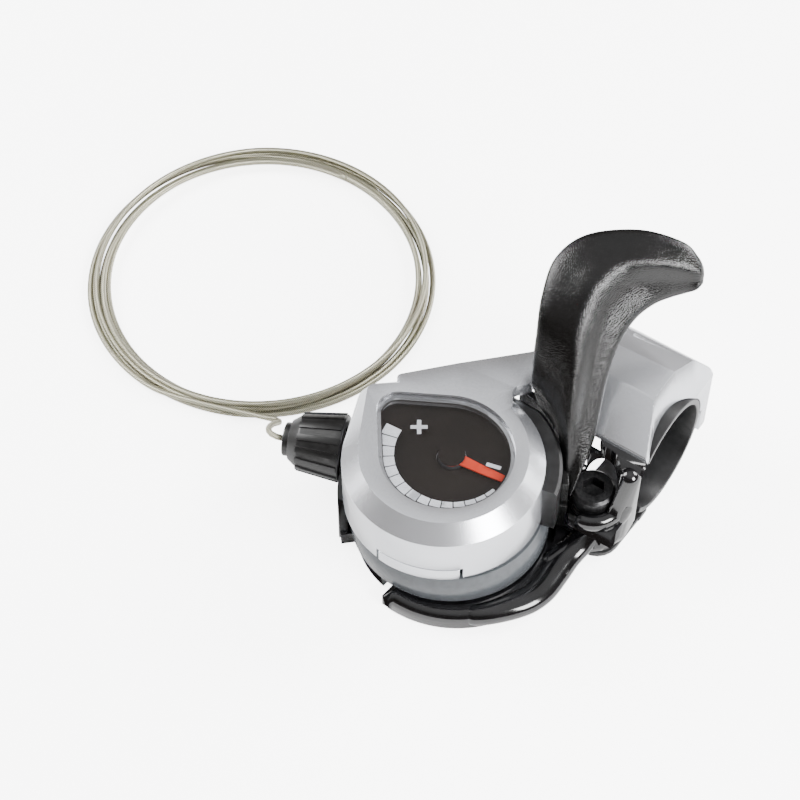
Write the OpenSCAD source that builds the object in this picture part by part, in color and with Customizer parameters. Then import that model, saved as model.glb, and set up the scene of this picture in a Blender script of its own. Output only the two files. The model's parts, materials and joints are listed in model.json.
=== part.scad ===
// Thumb gear shifter for a bicycle handlebar, with its inner cable coiled beside it.
// Origin: centre of the handlebar clamp. +X runs along the handlebar toward the grip,
// +Y runs from the winding drum toward the rider, +Z runs up along the drum's axis.
// Millimetres.

/* [Handlebar clamp] */
// Radius of the handlebar that the clamp grips
bar_r = 11.1; // [10.6:0.1:11.3]
// Thickness of the steel clamp band
band_t = 1.2; // [0.8:0.1:1.4]
// Width of the clamp band along the handlebar
band_w = 13; // [11:0.5:14]
// Radius of the clamp bolt's thread
bolt_r = 2.5; // [2:0.1:2.6]
// Radius of the clamp bolt's head
bolt_head_r = 4.2; // [3.8:0.1:4.3]
// Height of the clamp bolt's head
bolt_head_h = 4; // [3:0.5:4.5]

/* [Winding drum] */
// Free gap between the handlebar and the drum's ring
bar_gap = 0.3; // [0.3:0.1:1.4]
// Radius of the drum's visible ring
ring_r = 19.2; // [18:0.1:19.2]
// Height of the straight lower part of the ring
ring_h = 3.7; // [3:0.1:4]
// Radius at which the cable winds on the spool
spool_r = 6.5; // [6:0.1:7]
// Radius of the inner cable
cable_r = 0.6; // [0.5:0.05:0.6]
// Radius of the pivot axle
axle_r = 3; // [2.5:0.1:3.2]
// Radial play between the axle and the drum
play = 0.06; // [0.04:0.01:0.09]

/* [Cover] */
// Height of the cover's flat top above the handlebar's axis
top_z = 14.9; // [14.9:0.1:16]
// Radius of the cover's wall at its shoulder
cover_r = 19; // [18.6:0.1:19.1]
// Radius of the flat bezel round the window
bezel_r = 15.9; // [15:0.1:16.5]
// Height of the sloping shoulder between wall and bezel
shoulder_h = 3.2; // [2.4:0.1:3.4]
// Thickness of the cap over the clamp band
cap_t = 2.6; // [2:0.1:3]
// Radius of the round part of the window
window_r = 12.6; // [12:0.1:13]
// Thickness of the window lens
lens_t = 1.1; // [0.8:0.1:1.2]
// Number of bars on the printed scale
bars = 15; // [10:1:18]

/* [Lever] */
// Gap between the drum's ring level and the lever's inner face
lever_gap = 1.7; // [1.6:0.1:2]
// Thickness of the lever's root wall
root_t = 1.4; // [1.2:0.1:1.45]
// Angle that the lever's root covers round the drum
root_arc = 32; // [26:1:33]
// Depth of the lever's back behind its front edges
lever_back = 4.2; // [3:0.1:4.6]

/* [Cable adjuster] */
// Direction of the adjuster, seen from above
adj_dir = 203; // [200:1:206]
// Radius of the adjuster knob at its foot
knob_r = 6.9; // [6:0.1:7.1]
// Length of the adjuster knob
knob_l = 12; // [11:0.5:13]
// Number of grip ribs round the knob
knob_ribs = 14; // [8:1:16]
// Radius of the hollow adjuster bolt
adj_bolt_r = 2; // [1.8:0.1:2.2]

/* [Cable coil] */
// Mean radius of the coiled cable
coil_r = 34; // [30:0.5:36]
// Width of the bundle of turns in the coil
coil_w = 5; // [4:0.5:6]
// Height of the bundle of turns in the coil
coil_h = 3.6; // [3:0.1:4]

/* [Hidden] */
$fn = 96;
e = 0.01;

// Surface on which the shifter lies
floor_z = -12.5;
// Place of the clamp bolt
bolt_p = [-0.9, -15.7];
// Place of the drum's axis
drum_dist = bar_r + ring_r + bar_gap;
ax = [bolt_p[0] - ring_r - 3.3, -drum_dist];
// Levels of the base
plate_top = -9.4;
plate_r = 21.2;
rim_top = -8.2;
boss_top = -8;
ring_low = -7.5;
seat_z = -2.2;
washer_t = 1;
tab_z = -10.4;
flange_low = -6.2;
nut_h = 3;
arm_r = 2.1;
// Levels of the drum and the pieces on its axle
hub_top = 6.2;
fric_t = 0.6;
disc_t = 0.8;
axle_nut_h = 2;
spool_top = 1.8;
spool_rim = spool_r + 2.1;
hub_r = 5;
// Levels inside the cover
skirt_z = 1;
roof_z = 10.9;
dial_z = 11.6;
dial_t = 0.6;
needle_z = 12.6;
needle_t = 0.35;
lens_z = top_z - 0.4 - lens_t;
mark_t = 0.15;
shoulder_z = top_z - shoulder_h;
// Offsets of the cover's wall from the drum's axis
off_top = [-1.1, -1.1];
off_low = [-0.9, -0.9];
corner_top = [-19.3, 3.2];
corner_low = [-20.3, 2.6];
corner_r = 3.4;
flap_top = 3.6;
// Lever
lever_az = 27;
lever_in = ring_r + lever_gap;
lever_out = lever_in + root_t;
lever_low = -7.3;
over_bolt = seat_z + washer_t + bolt_head_h + 0.5;
// Adjuster: the cable leaves the spool at a tangent
tan_az = adj_dir - 90;
tan_p = ax + spool_r * [cos(tan_az), sin(tan_az)];
face_t = 21.5;
knob_t0 = face_t + 0.3;
knob_t1 = knob_t0 + knob_l;
knob_bore = 4.5;
knob_depth = 5;
thrust_t = 0.5;
washer_t0 = knob_t0 + knob_depth - thrust_t - 0.02;
spring_wire = 0.35;
nip_az = 62;
nip_r = 2;
// Cable on the ground
coil_c = [-90, -0.8];

// Route of the free cable from the adjuster to the coil: its first two points lie
// on the adjuster's axis, the last one at the coil's outer edge
out_p = function(t) [tan_p[0] + t * cos(adj_dir), tan_p[1] + t * sin(adj_dir), 0];
LEAD = [out_p(knob_t1 + 0.2), out_p(knob_t1 + 2.2), [-61.7, -37.2, -1.4], [-62.9, -34, -4.2],
    [-63.4, -31.2, -7.4], [-64.4, -29.8, -9.4], [-66.3, -29.5, -10.4]];

function unit(v) = v / norm(v);

// Points of a corner p1 between p0 and p2, rounded with radius r
function round_corner(p0, p1, p2, r, n = 5) =
    let (a = unit(p0 - p1), b = unit(p2 - p1), half = acos(a * b) / 2,
         c = p1 + unit(a + b) * r / sin(half), s = p1 + a * r / tan(half) - c,
         f = p1 + b * r / tan(half) - c, a0 = atan2(s[1], s[0]),
         d0 = atan2(f[1], f[0]) - a0, d = d0 > 180 ? d0 - 360 : d0 < -180 ? d0 + 360 : d0)
    [for (k = [0:n]) c + r * [cos(a0 + d * k / n), sin(a0 + d * k / n)]];

// Polygon P with its corners rounded by the radii R
function rounded(P, R) = let (n = len(P))
    [for (i = [0:n - 1]) each round_corner(P[(i + n - 1) % n], P[i], P[(i + 1) % n], R[i])];

// Smooth curve through points P at parameter u from 0 to len(P) - 1
function spline(P, u) =
    let (n = len(P) - 1, i = min(floor(u), n - 1), t = u - i,
         p0 = P[max(i - 1, 0)], p1 = P[i], p2 = P[i + 1], p3 = P[min(i + 2, n)])
    0.5 * (2 * p1 + (p2 - p0) * t + (2 * p0 - 5 * p1 + 4 * p2 - p3) * t * t
        + (3 * p1 - p0 - 3 * p2 + p3) * t * t * t);

// Point at parameter u of a smooth closed curve through points P
function loop_point(P, u) =
    let (n = len(P), i = floor(u), t = u - i,
         p0 = P[(i + n - 1) % n], p1 = P[i % n], p2 = P[(i + 1) % n], p3 = P[(i + 2) % n])
    0.5 * (2 * p1 + (p2 - p0) * t + (2 * p0 - 5 * p1 + 4 * p2 - p3) * t * t
        + (3 * p1 - p0 - 3 * p2 + p3) * t * t * t);

// Closed solid through rings with an even number of points, which turn the same
// way about the path; its flat ends are strips across the first and last ring
module skin(rings) {
    m = len(rings);
    n = len(rings[0]);
    t = (m - 1) * n;
    polyhedron(points = [for (r = rings) each r], faces = [
        for (k = [0:n / 2 - 2]) each [[k, k + 1, n - k - 1], [t + k, t + n - k - 1, t + k + 1]],
        for (k = [1:n / 2 - 1]) each [[k, n - k - 1, n - k], [t + k, t + n - k, t + n - k - 1]],
        for (i = [0:m - 2], k = [0:n - 1]) each [
            [i * n + (k + 1) % n, i * n + k, (i + 1) * n + (k + 1) % n],
            [(i + 1) * n + (k + 1) % n, i * n + k, (i + 1) * n + k]]], convexity = 6);
}

module at_drum() {
    translate([ax[0], ax[1], 0]) children();
}

module at_screw() {
    translate([ax[0] - 21.4, ax[1] + 4, 0]) children();
}

module at_bolt() {
    translate([bolt_p[0], bolt_p[1], 0]) children();
}

// Local Z runs outward along the adjuster
module at_adjuster() {
    translate([tan_p[0], tan_p[1], 0]) rotate([0, 90, adj_dir]) children();
}

// Profile in the YZ plane, extruded along the handlebar from x0 to x1
module along_bar(x0, x1) {
    translate([x0, 0, 0]) rotate([90, 0, 90]) linear_extrude(x1 - x0) children();
}

// Sector of a ring about the drum's axis, from azimuth a0 over the angle a
module sector(r0, r1, z0, z1, a0, a) {
    at_drum() rotate([0, 0, a0]) rotate_extrude(angle = a)
        translate([r0, z0]) square([r1 - r0, z1 - z0]);
}

// Rounded upper edge of the base, in radius and height
module rim_profile() {
    polygon(rounded([[17, floor_z], [21.4, floor_z], [21.4, rim_top], [17, rim_top]],
        [0.2, 0.6, 2, 0.6]));
}

module arm_post(top, foot, foot_z) {
    translate(top) sphere(r = arm_r, $fn = 28);
    translate([foot[0], foot[1], foot_z]) cylinder(r = arm_r, h = 1, $fn = 28);
}

module arm() {
    A = [[-2.6, -27.4, -9.8], [-0.8, -22.6, -9.4], [0.2, -18.6, -8], [2.6, -16.8, -3.2],
        [4.3, -14.8, 2], [4.9, -12.8, 7]];
    F = [[-2.4, -27.4, floor_z], [-0.6, -22.8, tab_z + 0.4], [1, -20, tab_z + 0.4],
        [3.4, -18.8, -8.6], [4.8, -15.8, -8], [4.9, -12.8, -6.2]];
    for (i = [0:4]) hull() {
        arm_post(A[i], F[i], F[i][2]);
        arm_post(A[i + 1], F[i + 1], F[i + 1][2]);
    }
}

// Saddle against the handlebar, with the flange under the bolt's head
module saddle() {
    along_bar(-8, 6.5) difference() {
        union() {
            difference() {
                circle(r = bar_r + band_t + cap_t - 0.1);
                translate([-9.9, -20]) square(40);
                translate([-20, -40 + flange_low]) square(40);
                translate([-20, 9.6]) square(40);
            }
            polygon(rounded([[-21, flange_low], [-9, flange_low], [-9, seat_z], [-21, seat_z]],
                [1, 0.3, 0.3, 1]));
        }
        circle(r = bar_r + band_t + 0.1);
    }
}

module base_bracket() {
    color([0.06, 0.06, 0.06]) difference() {
        union() {
            // Plate under the drum
            at_drum() translate([0, 0, floor_z]) cylinder(r = plate_r, h = plate_top - floor_z);
            at_drum() translate([1.6, -0.2, 0]) rotate([0, 0, -94])
                rotate_extrude(angle = 114) rim_profile();
            at_drum() translate([0, 0, plate_top - e]) cylinder(r = 5.6, h = boss_top - plate_top + e);
            // Neck between plate and clamp, and its side web
            translate([0, 0, floor_z]) linear_extrude(-8.3 - floor_z)
                polygon(rounded([[-27, -22], [-24, -13.2], [-7, -13.2], [-7, -26]], [2, 3, 0.5, 1]));
            along_bar(-8.6, -7) polygon([[-20, floor_z], [-9.6, floor_z], [-9.6, -8.2],
                [-11, -4], [-12.4, 2], [-15, 2], [-20, -8.2]]);
            saddle();
            arm();
            // Wall that carries the cover and the adjuster
            sector(ring_r + 0.5, plate_r + 0.3, floor_z + 0.6, skirt_z - 0.02, 138, 82);
            at_adjuster() translate([0, 0, face_t - 2]) linear_extrude(2)
                polygon(rounded([[-skirt_z + 0.04, -6], [-floor_z - 0.9, -6], [-floor_z - 0.9, 6],
                    [-skirt_z + 0.04, 6]], [0.5, 0.5, 0.5, 0.5]));
            at_screw() translate([0, 0, floor_z + 0.3]) cylinder(r = 1.9, h = skirt_z - floor_z - 0.36);
        }
        // Room for the drum's ring and the lever's root
        at_drum() translate([0, 0, rim_top]) cylinder(r = ring_r + 0.4, h = 30);
        sector(ring_r, lever_out + 0.35, rim_top, 30, -136, 272);
        sector(ring_r, ring_r + 7.2, 2.7, 30, 10, 80);
        sector(ring_r, ring_r + 9.6, 6.8, 30, 10, 80);
        // Room for the band, its tab and the nut
        translate([-band_w / 2 - 0.5, -22.2, floor_z - 1]) cube([20, 14, 1.4 + tab_z - floor_z]);
        translate([bolt_p[0] - 4.4, bolt_p[1] - 4.4, floor_z - 1])
            cube([8.8, 8.8, 1.3 + tab_z + nut_h - floor_z]);
        // Handlebar
        rotate([0, 90, 0]) translate([0, 0, -60]) cylinder(r = bar_r + 0.3, h = 120);
        along_bar(-band_w / 2 - 0.2, 20) circle(r = bar_r + band_t + 0.1);
        // Holes
        at_drum() translate([0, 0, floor_z - 1]) cylinder(r = axle_r, h = 20);
        at_drum() translate([0, 0, floor_z - 1]) cylinder(r = axle_r + 2.2, h = 3);
        at_bolt() translate([0, 0, floor_z - 1]) cylinder(r = bolt_r + 0.2, h = 20);
        at_bolt() translate([0, 0, seat_z]) cylinder(r = bolt_head_r + 0.6, h = 20);
        at_adjuster() translate([0, 0, 15]) cylinder(r = adj_bolt_r + 0.05, h = 10);
        at_screw() translate([0, 0, floor_z - 1]) cylinder(r = 0.95, h = 20, $fn = 24);
        at_screw() translate([0, 0, floor_z - 1]) cylinder(r = 1.7, h = 2.2, $fn = 24);
        // Plate set back beside the rim, with a notch next to its end
        sector(18.1, 30, floor_z - 1, 0, -137, 38);
        at_drum() rotate([0, 0, -97]) translate([15.6, -1.2, floor_z - 1]) cube([14, 2.4, 10]);
    }
}

// The arm stands in front of the band's tab, so the tab's room stops short of it
module clamp_band() {
    r1 = bar_r + band_t;
    color([0.09, 0.09, 0.09]) difference() {
        union() {
            along_bar(-band_w / 2, band_w / 2) difference() {
                circle(r = r1);
                circle(r = bar_r);
                polygon([[0, 0], [-40, 36], [-40, -29.6]]);
            }
            // Tab under the bolt
            translate([0, 0, tab_z - band_t]) linear_extrude(band_t)
                polygon(rounded([[-4.6, -21.2], [5.8, -21.2], [band_w / 2 - 0.1, -7.2], [-4.6, -7.2]],
                    [4, 4.6, 0.3, 0.3]));
            translate([-band_w / 2, -9, tab_z - band_t]) cube([band_w, 3, band_t]);
        }
        at_bolt() translate([0, 0, -20]) cylinder(r = bolt_r + 0.1, h = 20);
        rotate([0, 90, 0]) translate([0, 0, -20]) cylinder(r = bar_r, h = 40);
    }
}

module clamp_bolt() {
    z0 = seat_z + washer_t;
    color([0.13, 0.13, 0.13]) at_bolt() difference() {
        union() {
            translate([0, 0, tab_z - band_t - 0.3]) cylinder(r = bolt_r, h = z0 - tab_z + band_t + 0.3 + e);
            translate([0, 0, z0]) cylinder(r = bolt_head_r, h = bolt_head_h - 0.5);
            translate([0, 0, z0 + bolt_head_h - 0.5 - e])
                cylinder(r1 = bolt_head_r, r2 = bolt_head_r - 0.5, h = 0.5 + e);
        }
        translate([0, 0, z0 + bolt_head_h - 2.6]) cylinder(r = 2.3, h = 4, $fn = 6);
    }
}

module clamp_washer() {
    color([0.16, 0.16, 0.16]) at_bolt() translate([0, 0, seat_z]) difference() {
        cylinder(r = bolt_head_r + 0.15, h = washer_t);
        translate([0, 0, -1]) cylinder(r = bolt_r + 0.1, h = 5);
    }
}

module clamp_nut() {
    color([0.3, 0.3, 0.3]) at_bolt() translate([0, 0, tab_z]) difference() {
        translate([-4, -4, 0]) cube([8, 8, nut_h]);
        translate([0, 0, -1]) cylinder(r = bolt_r + 0.02, h = 9);
    }
}

// Window outline, larger by d
module window_shape(d) {
    hull() {
        translate([-0.6, -0.8]) circle(r = window_r + d);
        translate([-13.3, 2]) circle(r = 4 + d, $fn = 48);
    }
}

// Body over the drum: a round wall drawn out to a corner above the adjuster
module cover_lobe() {
    at_drum() {
        hull() {
            translate([off_low[0], off_low[1], skirt_z]) cylinder(r = cover_r + 0.2, h = 0.5);
            translate([corner_low[0], corner_low[1], skirt_z]) cylinder(r = corner_r, h = 0.5, $fn = 32);
            translate([off_top[0], off_top[1], shoulder_z - 0.5]) cylinder(r = cover_r, h = 0.5);
            translate([corner_top[0], corner_top[1], shoulder_z - 0.5])
                cylinder(r = corner_r, h = 0.5, $fn = 32);
        }
        hull() {
            translate([off_top[0], off_top[1], shoulder_z - e])
                cylinder(r1 = cover_r, r2 = bezel_r, h = shoulder_h + e);
            translate([corner_top[0], corner_top[1], shoulder_z - e])
                cylinder(r1 = corner_r, r2 = 1.6, h = shoulder_h + e, $fn = 32);
        }
    }
}

// Cap over the clamp band, in the YZ plane
module cap_profile() {
    difference() {
        polygon(rounded([[-9.4, 8.6], [-9.4, 9.8], [-0.5, 16], [7, 16], [13, 14.2], [15.8, 10.4],
            [15.8, -7], [13.2, -7], [13.2, 0], [0, 9]], [0.2, 0.8, 1.2, 3, 3, 2, 0.5, 0.5, 0.1, 0.1]));
        circle(r = bar_r + band_t + 0.2);
    }
}

module top_cover() {
    color([0.78, 0.79, 0.81]) difference() {
        union() {
            cover_lobe();
            // Bridge from the drum to the clamp
            translate([0, 0, 11.7]) linear_extrude(top_z - 11.7)
                polygon(rounded([ax + [-18.6, 8], ax + [-10, 17.2], [-23, -3], [-11.4, 11.8], [-9, 11.8],
                    [-9, 3], [-14.6, -4.4], ax + [1.6, 18.2], ax + [4, 14.8], ax + [-0.6, 2.6]],
                    [1, 8, 20, 2, 0.5, 1, 4, 1.6, 1.2, 1]));
            along_bar(-11.5, 6.5) cap_profile();
        }
        // Slanted end face of the cap
        translate([6.5, 0, 9]) rotate([0, -32, 0]) translate([0, -30, 0]) cube([20, 60, 30]);
        // Room for the drum and the pieces on the axle
        at_drum() translate([-0.4, -0.4, -1]) cylinder(r = 17.4, h = roof_z + 1);
        // Room for the lever beside the drum
        sector(lever_in - 0.4, lever_out + 4.6, -1, 40, 14, 65.5);
        // Dial and window
        at_drum() translate([0, 0, dial_z]) linear_extrude(20) window_shape(-0.7);
        at_drum() translate([0, 0, lens_z]) linear_extrude(20) window_shape(0.1);
        at_drum() translate([0, 0, 5]) cylinder(r = 2.75, h = 20);
        // Screw
        at_screw() translate([0, 0, -1]) cylinder(r = 0.8, h = 7, $fn = 24);
        // Adjuster bolt
        at_adjuster() translate([0, 0, 13]) cylinder(r = adj_bolt_r + 0.35, h = 13);
        // Opening behind the access flap
        sector(cover_r - 3, cover_r + 3, -1, flap_top + 0.3, -99.6, 49.6);
    }
}

// Panel in the cover's wall, over the place where the cable is threaded in
module access_flap() {
    color([0.8, 0.81, 0.83]) at_drum() translate([off_low[0], off_low[1], 0])
        rotate([0, 0, -96]) rotate_extrude(angle = 48)
            translate([cover_r - 1.2, 0.5]) square([1.4, flap_top - 0.5]);
}

module cover_screw() {
    color([0.5, 0.5, 0.52]) at_screw() {
        translate([0, 0, floor_z + 0.2]) cylinder(r = 1.6, h = 1);
        translate([0, 0, floor_z + 1]) cylinder(r = 0.78, h = 16);
    }
}

module window_lens() {
    color([0.25, 0.22, 0.2, 0.5]) at_drum() translate([0, 0, lens_z]) linear_extrude(lens_t)
        window_shape(0);
}

module dial_plate() {
    color([0.15, 0.11, 0.1]) at_drum() translate([0, 0, dial_z]) difference() {
        linear_extrude(dial_t) window_shape(-0.8);
        translate([0, 0, -1]) cylinder(r = 2.9, h = 5);
    }
}

// Tapering bars round the dial, printed under the lens
module scale_marks() {
    pitch = 165 / bars;
    color([0.85, 0.86, 0.88]) for (i = [0:bars - 1]) intersection() {
        sector(window_r - 1.9, window_r - 1.2 + 2.5 * pow(1 - i / (bars - 1), 1.2), lens_z - mark_t, lens_z,
            -176 + i * pitch, pitch - 1.2);
        at_drum() translate([0, 0, dial_z]) linear_extrude(9) window_shape(-0.85);
    }
}

module pointer() {
    color([0.85, 0.18, 0.1]) at_drum() translate([0, 0, needle_z]) difference() {
        union() {
            cylinder(r = 2.3, h = needle_t);
            rotate([0, 0, -9]) linear_extrude(needle_t)
                polygon([[0, -1.5], [10.4, -1.3], [10.6, 0.9], [6, 0.5], [0, 1.5]]);
        }
        translate([0, 0, -1]) cylinder(r = 1.5, h = 3);
    }
}

module pointer_cap() {
    color([0.08, 0.07, 0.07]) at_drum() translate([0, 0, needle_z + needle_t])
        cylinder(r = 2.5, h = 0.2);
}

module pointer_carrier() {
    color([0.2, 0.2, 0.2]) at_drum() difference() {
        union() {
            translate([0, 0, spool_top]) cylinder(r = hub_r + 1.2, h = 10.7 - spool_top);
            translate([0, 0, 10]) cylinder(r = 2.5, h = needle_z - 10);
            translate([0, 0, 10]) cylinder(r = 1.5, h = needle_z + needle_t - 10);
        }
        translate([0, 0, spool_top - 1]) cylinder(r = hub_r, h = 11 - spool_top);
    }
}

module winding_drum() {
    g = cable_r + 0.15;
    color([0.42, 0.43, 0.44]) difference() {
        at_drum() rotate_extrude() polygon([[axle_r + play, boss_top + 0.02], [6.4, boss_top + 0.02],
            [6.4, ring_low + 0.3], [ring_r - 1.4, ring_low + 0.3], [ring_r - 1.4, ring_low],
            [ring_r, ring_low], [ring_r, ring_low + ring_h], [ring_r - 1, -1.2],
            [ring_r - 2.2, -1.2], [ring_r - 2.2, -5.2], [spool_rim, -5.2], [spool_rim, -g],
            [spool_r - cable_r - 0.05, -g], [spool_r - cable_r - 0.05, g], [spool_rim, g],
            [spool_rim, spool_top], [hub_r, spool_top], [hub_r, hub_top], [axle_r + play, hub_top]]);
        at_drum() rotate([0, 0, nip_az]) translate([spool_r, 0, -2]) cylinder(r = nip_r + 0.05, h = 10);
    }
}

// Guide curves of the lever, about the drum's axis: its trailing edge, the ridge
// between its two front faces, its leading edge, and how far its back stands behind
TRAIL = [[11.4, 17.8, over_bolt], [7.6, 19.9, 8], [5.2, 20.6, 13], [4.7, 19.8, 19.5], [3.4, 22.8, 27],
    [1.2, 27.8, 32.2], [0, 34.2, 36], [2.8, 40.6, 38.2], [10.6, 46.4, 39], [18.2, 49.2, 37.8],
    [21.6, 49.4, 35.6], [23.1, 49.1, 33.9]];
RIDGE = [[17.2, 12.4, over_bolt], [16, 14.4, 9.6], [14.6, 16.4, 15.6], [13, 20.4, 22.4], [11.2, 25, 28.6],
    [10.2, 29, 32.6], [10, 33.2, 35.6], [11.6, 38.2, 37], [15.8, 42, 37], [20, 44.8, 35.8], [23.2, 47, 34.4],
    [23.9, 48, 33.3]];
LEADING = [[20.1, 10.3, over_bolt], [19.8, 15.4, 7.4], [19.2, 20, 11.4], [17.8, 24.4, 17], [16.8, 28, 21.6],
    [16.4, 31.8, 25.4], [16.8, 36.2, 27.6], [18.2, 40.2, 28.6], [20.2, 43, 29.2], [22.2, 45, 29.8],
    [23.8, 45.9, 31], [24.2, 47.4, 31.6]];
BACK = [[1.2, 1.3, 0], [1, 1.8, 0], [0.1, 1.9, -0.6], [-1.1, 1.8, -2.9], [-1.4, 2, -3.4], [-1.4, 2, -3.4],
    [-1.4, 2, -3.4], [-1.3, 1.9, -3.3], [-1.2, 1.8, -3.1], [-1.2, 1.8, -2.9], [-1, 1.5, -2.3],
    [-0.5, 0.8, -1.2]];

// Keeps a point outside the drum, the cover and the handlebar
function outside(p) = let (r = norm([p[0], p[1]]), k = p[2] < top_z + 0.5 ? max(1, lever_in / r) : 1,
    b = bar_r + 0.4, y = p[2] < b ? drum_dist - sqrt(b * b - p[2] * p[2]) : 99)
    [p[0] * k, min(p[1] * k, y), p[2]];

// Section of the lever, square to none of the axes
function lever_ring(u) =
    let (L = spline(TRAIL, u), R = spline(RIDGE, u), Q = spline(LEADING, u),
         B = spline(BACK, u) * lever_back / 4.2,
         P = [L, (L + R) / 2 - 0.15 * B, R, (R + Q) / 2, Q, Q + 0.2 * (L - Q) + 0.9 * B,
              Q + 0.55 * (L - Q) + B, Q + 0.86 * (L - Q) + 0.75 * B])
    [for (k = [0:23]) outside(loop_point(P, k / 3))];

module lever() {
    n = 44;
    color([0.05, 0.05, 0.05]) {
        at_drum() skin([for (i = [0:n]) lever_ring(11 * i / n)]);
        sector(ring_r, lever_out, lever_low, -0.1, lever_az, root_arc);
        sector(lever_in - 0.1, lever_out - 0.1, -0.2, over_bolt + 2.7, lever_az + 2.2, root_arc - 2.2);
    }
}

module pivot_axle() {
    color([0.6, 0.6, 0.62]) at_drum() {
        translate([0, 0, floor_z + 0.3]) cylinder(r = axle_r + 2, h = 1.7);
        translate([0, 0, floor_z + 1]) cylinder(r = axle_r, h = 9.8 - floor_z - 1);
    }
}

module friction_washer() {
    color([0.75, 0.7, 0.6]) at_drum() translate([0, 0, hub_top]) difference() {
        cylinder(r = hub_r - 0.1, h = fric_t);
        translate([0, 0, -1]) cylinder(r = axle_r + 0.05, h = 5);
    }
}

// Dished spring washer that presses the drum down
module spring_washer() {
    z0 = hub_top + fric_t;
    color([0.5, 0.5, 0.5]) at_drum() rotate_extrude() polygon([[axle_r + 0.05, z0 + 0.35],
        [hub_r - 0.2, z0], [hub_r - 0.2, z0 + 0.35], [axle_r + 0.05, z0 + disc_t]]);
}

module axle_nut() {
    color([0.62, 0.62, 0.64]) at_drum() translate([0, 0, hub_top + fric_t + disc_t]) difference() {
        cylinder(r = 4.8, h = axle_nut_h, $fn = 6);
        translate([0, 0, -1]) cylinder(r = axle_r + 0.02, h = 5);
    }
}

module cable_nipple() {
    color([0.7, 0.7, 0.7]) at_drum() rotate([0, 0, nip_az]) translate([spool_r, 0, -1.95])
        cylinder(r = nip_r, h = 3.7);
}

module cable_run() {
    a0 = nip_az + 2 * asin((nip_r + 0.2) / 2 / spool_r);
    color([0.55, 0.54, 0.48]) {
        at_drum() rotate([0, 0, a0]) rotate_extrude(angle = tan_az - a0)
            translate([spool_r, 0]) circle(r = cable_r, $fn = 24);
        at_adjuster() cylinder(r = cable_r, h = knob_t1 + 0.1, $fn = 24);
    }
}

module adjuster_bolt() {
    color([0.6, 0.6, 0.6]) at_adjuster() translate([0, 0, face_t - 1.9]) difference() {
        cylinder(r = adj_bolt_r, h = knob_l);
        translate([0, 0, -1]) cylinder(r = cable_r + 0.2, h = 40);
    }
}

module adjuster_knob() {
    l = knob_l;
    color([0.07, 0.07, 0.07]) at_adjuster() translate([0, 0, knob_t0]) difference() {
        union() {
            rotate_extrude() polygon(rounded([[0, 0], [knob_r - 0.3, 0], [knob_r - 1.5, l * 0.72],
                [3.9, l - 1.3], [3.3, l - 1.2], [3.3, l], [0, l]],
                [0.01, 0.4, 1, 0.1, 0.05, 0.4, 0.01]));
            for (i = [0:knob_ribs - 1]) rotate([0, 0, i * 360 / knob_ribs])
                translate([knob_r - 1.1, -0.6, 0.4]) rotate([0, -7.4, 0]) cube([1, 1.2, l * 0.7]);
        }
        translate([0, 0, -1]) cylinder(r = knob_bore, h = knob_depth + 1);
        translate([0, 0, -1]) cylinder(r = adj_bolt_r + 0.03, h = l);
        translate([0, 0, -1]) cylinder(r = cable_r + 0.5, h = 40);
    }
}

// Coil spring round the adjuster bolt, between the base and the thrust washer
module adjuster_spring() {
    turns = 4;
    n = 56;
    w = spring_wire;
    z0 = face_t + w + 0.02;
    z1 = washer_t0 - w - 0.02;
    color([0.65, 0.65, 0.66]) at_adjuster() skin([for (i = [0:n])
        let (a = i * 360 * turns / n, z = z0 + (z1 - z0) * i / n)
        [for (k = [0:7]) let (r = adj_bolt_r + 1.3 + w * cos(k * 45))
            [r * cos(a), r * sin(a), z - w * sin(k * 45)]]]);
}

// Thrust washer at the bottom of the knob's bore, which moves out with the knob
module adjuster_washer() {
    color([0.7, 0.7, 0.7]) at_adjuster() translate([0, 0, washer_t0]) difference() {
        cylinder(r = knob_bore - 0.2, h = thrust_t);
        translate([0, 0, -1]) cylinder(r = adj_bolt_r + 0.05, h = 5);
    }
}

// Eight-sided tube along the free cable's route
module cable_lead() {
    m = 30;
    P = [for (i = [0:m]) spline(LEAD, (len(LEAD) - 1) * i / m)];
    color([0.55, 0.54, 0.48]) skin([for (i = [0:m])
        let (d = unit(P[min(i + 1, m)] - P[max(i - 1, 0)]), s = unit(cross([0, 0, 1], d)), t = cross(d, s))
        [for (k = [0:7]) P[i] + cable_r * (s * cos(k * 45 + 22.5) + t * sin(k * 45 + 22.5))]]);
}

// Outer shape of the coiled turns
module cable_coil() {
    color([0.55, 0.54, 0.48]) translate([coil_c[0], coil_c[1], floor_z]) rotate_extrude()
        polygon(rounded([[coil_r - coil_w / 2, 0], [coil_r + coil_w / 2, 0],
            [coil_r + coil_w / 2, coil_h], [coil_r - coil_w / 2, coil_h]], [1, 1, 1.6, 1.6]));
}

base_bracket();
clamp_band();
clamp_bolt();
clamp_washer();
clamp_nut();
top_cover();
access_flap();
cover_screw();
window_lens();
dial_plate();
scale_marks();
pointer();
pointer_cap();
pointer_carrier();
winding_drum();
lever();
pivot_axle();
friction_washer();
spring_washer();
axle_nut();
cable_nipple();
cable_run();
adjuster_bolt();
adjuster_knob();
adjuster_spring();
adjuster_washer();
cable_lead();
cable_coil();
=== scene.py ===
"""Looks of a thumb gear shifter: painted cover, moulded lever, tinted window and cable."""
import json
import math

import bpy
import numpy as np
from mathutils import Matrix, Vector


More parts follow.
